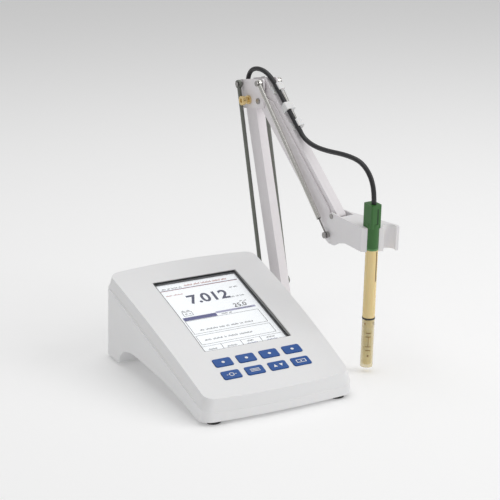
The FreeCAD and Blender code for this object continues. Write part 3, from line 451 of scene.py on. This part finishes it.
def coil_points():
    """Clockwise turns from the coil's front: one outside, one inside it, then half a turn over both."""
    turns = []
    for i in range(int(TURNS * TURN_POINTS) + 1):
        done = i / TURN_POINTS
        if done <= 2:
            passed = (done - PASS_START) / PASS_LONG
            off, height = max(INNER_OFF, CORD_R * min(1.0, 1 - passed)), LYING_Z
        else:
            off, height = OVER_OFF, OVER_Z
        turn = math.radians(-90) - 2 * math.pi * done
        radius = COIL_MID + off
        turns.append(COIL + Vector((radius * math.cos(turn), radius * math.sin(turn), height)))
    return turns


def add_cables():
    probe, clips = in_arm(ROUTE_PROBE), in_arm(ROUTE_CLIPS)
    add_cord("cable_probe", probe + clips[1:],
             ("cord_probe", "cord_clips"))
    elbow, post, foot = in_arm(ROUTE_ELBOW), in_arm(ROUTE_POST), in_arm(ROUTE_FOOT)
    add_cord("cable_elbow", elbow, ("cord_elbow",))
    add_cord("cable_post", post, ("cord_post",))
    add_cord("cable_foot", foot, ("cord_foot",))
    leave = in_arm(ROUTE_LEAVE)
    lying = in_console(ROUTE_BENCH)
    bench = leave + lying + in_console(coil_points()) + in_console(ROUTE_PLUG)
    add_cord("cable_bench", bench,
             ("cord_bench", "cord_coil", "cord_plug"))


# ---------------------------------------------------------------- screen and key marks
GLASS_TOP = -1.9
SHEET_Z, MARK_Z, INK_Z = GLASS_TOP + 0.03, GLASS_TOP + 0.08, GLASS_TOP + 0.12
VIEW_LEFT, VIEW_LOW, VIEW_HIGH = -42.4, -42.4, 76.7
VIEW_COLUMNS, VIEW_ROWS = 12, 16
RULE_HALF = 40.6
BOX_LEFT, BOX_RIGHT, BOX_LINE = -38.5, 37.5, 0.45
STROKE_PITCH, STROKE_WIDE, STROKE_END = 1.1, 0.46, 0.9
STROKE_RISES, STROKE_JOINS = (0.72, 1.0, 0.7, 0.74, 1.0, 0.68), (0.0, 0.55, 0.35)
FONT_SIZE = 1.4
KEY_PITCH, KEY_PROUD, KEY_INK = 23.3, 0.7, 0.04
KEY_ROWS = (-63.4, -81.9)
SIGN_HALF = 4.8


class Ink:
    """Collects flat shapes of one ink, then makes one piece of them."""

    def __init__(self, height):
        self.shape = bmesh.new()
        self.height = height

    def polygon(self, points):
        self.shape.faces.new([self.shape.verts.new((x, y, self.height)) for x, y in points])

    def bar(self, x0, x1, y0, y1):
        self.polygon([(x0, y0), (x1, y0), (x1, y1), (x0, y1)])

    def frame(self, x0, x1, y0, y1, t):
        self.bar(x0, x1, y0, y0 + t)
        self.bar(x0, x1, y1 - t, y1)
        self.bar(x0, x0 + t, y0 + t, y1 - t)
        self.bar(x1 - t, x1, y0 + t, y1 - t)

    def words(self, x, y, tall, lengths, gap=1.1):
        """A line of small print, as blocks of uneven strokes with spaces between them."""
        for n, length in enumerate(lengths):
            strokes = max(1, round(length / STROKE_PITCH))
            for k in range(strokes):
                rise = STROKE_RISES[(n * 2 + k) % 6] * tall
                left, join = x + k * STROKE_PITCH, y + rise * STROKE_JOINS[k % 3]
                self.bar(left, left + STROKE_WIDE, y, y + rise)
                self.bar(left + STROKE_WIDE, left + STROKE_END, join, join + 0.5)
            x += length + gap

    def disc(self, x, y, radius, sides=28):
        turns = [2 * math.pi * k / sides for k in range(sides)]
        self.polygon([(x + radius * math.cos(t), y + radius * math.sin(t)) for t in turns])

    def ring(self, x, y, radius, t, sides=28):
        for k in range(sides):
            a, b = 2 * math.pi * k / sides, 2 * math.pi * (k + 1) / sides
            self.polygon([(x + r * math.cos(c), y + r * math.sin(c))
                          for r, c in ((radius, a), (radius, b), (radius - t, b), (radius - t, a))])

    def make(self, name, slot_name, body, place):
        mesh = bpy.data.meshes.new(name)
        self.shape.to_mesh(mesh)
        self.shape.free()
        piece(name, mesh, slot_name, body, place)


def add_figures(name, text, x, y, tall, slot_name, wide=1.0, bold=0.0):
    """Plain figures of the reading, set flat on the glass."""
    curve = bpy.data.curves.new(name, "FONT")
    curve.body = text
    curve.size = tall * FONT_SIZE
    curve.offset = bold
    holder = bpy.data.objects.new(name + "_set", curve)
    SCENE.collection.objects.link(holder)
    bpy.context.view_layer.update()
    mesh = bpy.data.meshes.new_from_object(holder)
    bpy.data.objects.remove(holder)
    low = min(v.co.y for v in mesh.vertices)
    left = min(v.co.x for v in mesh.vertices)
    high = max(v.co.y for v in mesh.vertices)
    size = tall / (high - low)
    place = Matrix.Translation((x, y, INK_Z)) @ Matrix.Diagonal((size * wide, size, 1, 1))
    mesh.transform(place @ Matrix.Translation((-left, -low, 0)))
    piece(name, mesh, slot_name, "console", slope_frame)


def add_screen():
    """The lit sheet with its rules, boxes, small print that spells nothing, and the reading's figures."""
    sheet = Ink(SHEET_Z)
    for i in range(VIEW_COLUMNS):
        for j in range(VIEW_ROWS):
            x0 = VIEW_LEFT * (1 - 2 * i / VIEW_COLUMNS)
            x1 = VIEW_LEFT * (1 - 2 * (i + 1) / VIEW_COLUMNS)
            y0 = VIEW_LOW + (VIEW_HIGH - VIEW_LOW) * j / VIEW_ROWS
            y1 = VIEW_LOW + (VIEW_HIGH - VIEW_LOW) * (j + 1) / VIEW_ROWS
            sheet.bar(x0, x1, y0, y1)
    sheet.make("screen_sheet", "screen_white", "console", slope_frame)

    pale = Ink(MARK_Z)
    pale.bar(-4.0, BOX_RIGHT, 17.2, 20.2)
    pale.bar(-RULE_HALF, RULE_HALF, 66.9, 67.3)
    pale.make("screen_pale_strip", "screen_pale", "console", slope_frame)

    blue = Ink(MARK_Z)
    blue.bar(BOX_LEFT, -4.4, 13.2, 18.6)
    blue.make("screen_blue_tab", "screen_blue", "console", slope_frame)

    red = Ink(MARK_Z)
    red.words(-14.0, 69.4, 3.0, (8.8, 6.6, 11.0, 8.8, 5.5))
    red.words(BOX_LEFT, 56.8, 1.9, (6.6, 9.9))
    red.bar(-RULE_HALF, RULE_HALF, 65.8, 66.3)
    red.make("screen_red_marks", "screen_red", "console", slope_frame)

    grey = Ink(MARK_Z)
    grey.bar(-RULE_HALF, RULE_HALF, 66.4, 66.8)
    grey.words(-38.0, 68.4, 2.4, (4.4, 3.3, 6.6, 3.3))
    grey.words(27.0, 54.4, 2.2, (3.3, 4.4))
    grey.words(19.0, 38.4, 2.3, (6.6, 3.3, 4.4))
    grey.words(26.0, 29.4, 1.8, (3.3, 3.3))
    grey.frame(-35.5, -25.5, 20.9, 27.6, 0.5)
    grey.words(-35.0, 28.3, 2.2, (3.3, 4.4))
    grey.words(-33.5, 23.4, 1.9, (3.3, 2.2))
    grey.words(0.5, 14.2, 2.0, (6.6, 3.3))
    grey.words(18.0, 17.7, 2.0, (5.5, 3.3, 5.5))
    grey.frame(BOX_LEFT, BOX_RIGHT, -9.4, 12.8, BOX_LINE)
    grey.words(-30.5, -5.6, 2.6, (4.4, 12.1, 5.5, 3.3, 7.7, 3.3, 8.8), gap=1.6)
    grey.frame(BOX_LEFT - 0.5, BOX_RIGHT, -27.2, -12.0, BOX_LINE)
    grey.words(-33.0, -21.8, 2.6, (6.6, 9.9, 2.2, 9.9, 13.2), gap=1.7)
    grey.bar(-RULE_HALF, RULE_HALF, -30.2, -29.8)
    for x in (-21.4, -1.6, 18.2):
        grey.bar(x - 0.25, x + 0.25, -RULE_HALF, -30.2)
    grey.words(-36.0, -36.6, 2.4, (8.8,))
    grey.words(-17.0, -36.6, 2.4, (9.9,))
    grey.words(4.2, -34.2, 2.2, (6.6,))
    grey.words(24.0, -34.2, 2.2, (8.8,))
    grey.make("screen_grey_marks", "screen_grey", "console", slope_frame)

    small = Ink(MARK_Z)
    small.words(2.6, -38.2, 2.1, (11.0,))
    small.words(23.0, -38.2, 2.1, (11.0,))
    small.make("screen_blue_marks", "screen_blue", "console", slope_frame)
    add_figures("screen_reading", "7.012", -20.5, 38.2, 15.2, "screen_navy", wide=0.95, bold=0.5)
    add_figures("screen_temperature", "25.0", 17.5, 21.6, 6.4, "screen_grey", wide=0.9, bold=0.15)


def key_centres():
    """Middles of the eight keys, upper row first, from left to right."""
    for y in KEY_ROWS:
        for column in range(4):
            yield (column - 1.5) * KEY_PITCH, y


def add_key_marks():
    """White dots on the upper row and simple signs on the lower row."""
    for n, (x, y) in enumerate(key_centres()):
        ink = Ink(crown(y) + KEY_PROUD + KEY_INK)
        if n < 4:
            ink.disc(x, y, 1.55)
        elif n == 4:
            ink.ring(x, y, 2.5, 0.75)
            ink.bar(x - SIGN_HALF, x - 3.4, y - 0.4, y + 0.4)
            ink.bar(x + 3.4, x + SIGN_HALF, y - 0.4, y + 0.4)
        elif n == 5:
            for k in (-1, 0, 1):
                ink.bar(x - 4.6, x + 4.6, y + k * 1.7 - 0.4, y + k * 1.7 + 0.4)
        elif n == 6:
            ink.polygon([(x - 5.0, y - 1.9), (x - 1.2, y - 1.9), (x - 3.1, y + 2.1)])
            ink.polygon([(x + 5.0, y + 1.9), (x + 1.2, y + 1.9), (x + 3.1, y - 2.1)])
        else:
            ink.frame(x - SIGN_HALF, x + SIGN_HALF, y - 2.3, y + 2.3, 0.75)
            ink.disc(x, y, 0.8)
        name = "key_%d" % (n + 1)
        ink.make(name + "_mark", "mark_white", name, slope_frame)


# ---------------------------------------------------------------- probe
GROOVE_HALF, GROOVE_FACE, GROOVE_Y = 0.8, 5.44, 1.2
GROOVE_ENDS = (3.0, 8.0, 14.0, 19.0)
MARK_IN = 5.6
SLEEVE_MARKS = (              # lowest, highest, first angle and sweep in degrees
    (-104.0, -103.0, -52, 44),
    (-107.6, -106.8, -56, 52),
    (-117.6, -116.8, -56, 52),
    (-121.4, -120.6, -52, 44),
    (-117.0, -107.4, -32, 5),
    (-127.6, -125.6, -36, 14),
)


def band(name, radius, inner, z0, z1, slot_name, place, sides=48, spread=None):
    """A thin ring round the probe's axis, or the part that spread gives as start and sweep in degrees."""
    shape = bmesh.new()
    start, sweep = (math.radians(angle) for angle in spread or (0, 360))
    closed = spread is None
    count = sides if closed else sides + 1
    turns = [start + sweep * k / sides for k in range(count)]
    loops = []
    for r, z in ((radius, z0), (radius, z1), (inner, z1), (inner, z0)):
        loops.append([shape.verts.new((r * math.cos(turn), r * math.sin(turn), z)) for turn in turns])
    for a, b in zip(loops, loops[1:] + loops[:1]):
        for k in range(sides):
            shape.faces.new((a[k], a[(k + 1) % count], b[(k + 1) % count], b[k]))
    if not closed:
        shape.faces.new([loop[0] for loop in reversed(loops)])
        shape.faces.new([loop[-1] for loop in loops])
    mesh = bpy.data.meshes.new(name)
    shape.to_mesh(mesh)
    shape.free()
    piece(name, mesh, slot_name, "head", place)


def add_probe_details():
    """The cap's sunk line as a flat dark strip of painted shade, its lip as a band of painted highlight, and
    the brown line and marks on the amber body and sleeve.
    """
    probe_frame = head_frame @ Matrix.Translation((0, PROBE_Y, 0))
    # Painted shade: the sunk line is a flat dark strip on the cap's face, standing for the shade in the
    # groove.
    groove = Ink(0.0)
    for z0, z1 in zip(GROOVE_ENDS, GROOVE_ENDS[1:]):
        groove.bar(z0, z1, -GROOVE_HALF, GROOVE_HALF)
    face = Matrix(((0, 0, 1, GROOVE_FACE), (0, 1, 0, GROOVE_Y), (1, 0, 0, 0), (0, 0, 0, 1)))
    groove.make("cap_groove_painted_shade", "painted_groove_shade", "head", probe_frame @ face)
    # Painted highlight: the lip's band is a paler green, as if lit.
    band("cap_lip", 6.12, 5.7, -21.3, -19.6, "cap_lip_highlight", probe_frame)
    band("probe_stripe", 6.02, MARK_IN, -52.0, -22.2, "mark_brown", probe_frame, sides=6, spread=(10, 14))
    for n, (z0, z1, turn, sweep) in enumerate(SLEEVE_MARKS):
        band("sleeve_mark_%d" % (n + 1), 6.03, MARK_IN, z0, z1, "mark_brown", probe_frame, sides=8,
             spread=(turn, sweep))


make_materials()
assign_slots()
add_camera()
add_studio()
add_cables()
add_screen()
add_key_marks()
add_probe_details()
